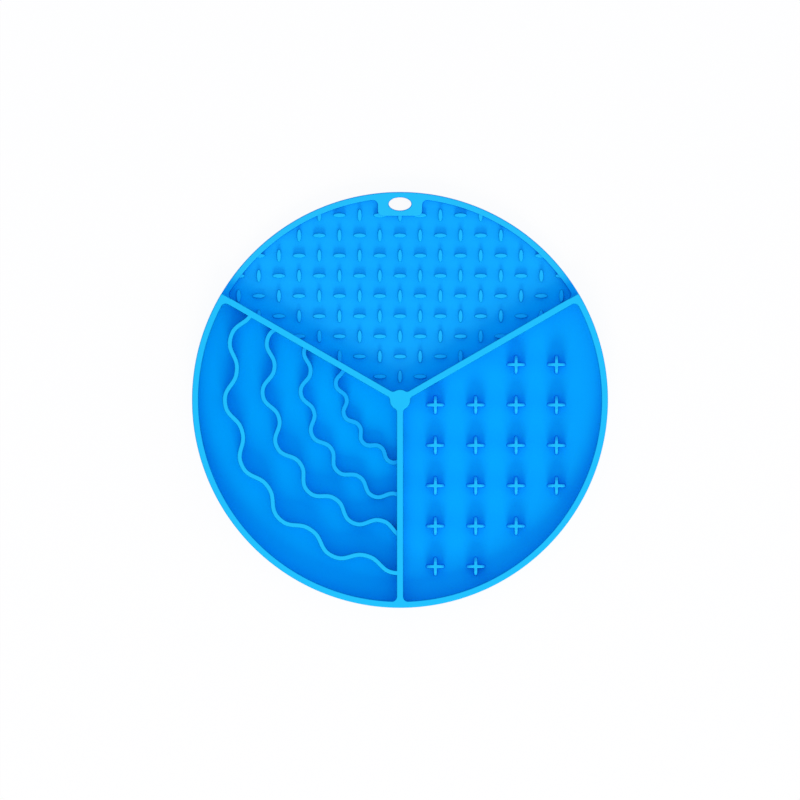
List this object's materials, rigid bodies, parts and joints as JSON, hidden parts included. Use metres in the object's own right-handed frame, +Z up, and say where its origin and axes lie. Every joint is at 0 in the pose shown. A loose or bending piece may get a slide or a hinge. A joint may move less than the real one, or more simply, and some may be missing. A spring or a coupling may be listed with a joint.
{
  "type": "slow feeder mat",
  "caption": "Round silicone slow feeder mat whose walls part it into trays of oval studs, wavy ribs and cross pegs, with a hang hole in a tab at the rim.",
  "frame": {"origin": "centre of the round underside", "axes": "+Z up out of the trays, +Y from the centre to the hang tab, +X to the right with the cross pegs on the right"},
  "size_m": [0.206, 0.206, 0.01],
  "materials": {
    "silicone": "satin"
  },
  "bodies": {
    "root": {"floor_plate": "silicone", "rim_left": "silicone", "rim_right": "silicone", "low_rim_left": "silicone", "low_rim_right": "silicone", "hang_tab": "silicone", "centre_hub": "silicone", "divider_left": "silicone", "divider_right": "silicone", "divider_front": "silicone", "wave_rib_1": "silicone", "wave_rib_2": "silicone", "wave_rib_3": "silicone", "wave_rib_4": "silicone", "oval_row_1": "silicone", "oval_row_2": "silicone", "oval_row_3": "silicone", "oval_row_4": "silicone", "oval_row_5": "silicone", "oval_row_6": "silicone", "oval_row_7": "silicone", "oval_row_8": "silicone", "oval_row_9": "silicone", "cross_column_1": "silicone", "cross_column_2": "silicone", "cross_column_3": "silicone", "cross_column_4": "silicone"}
  },
  "joints": []
}
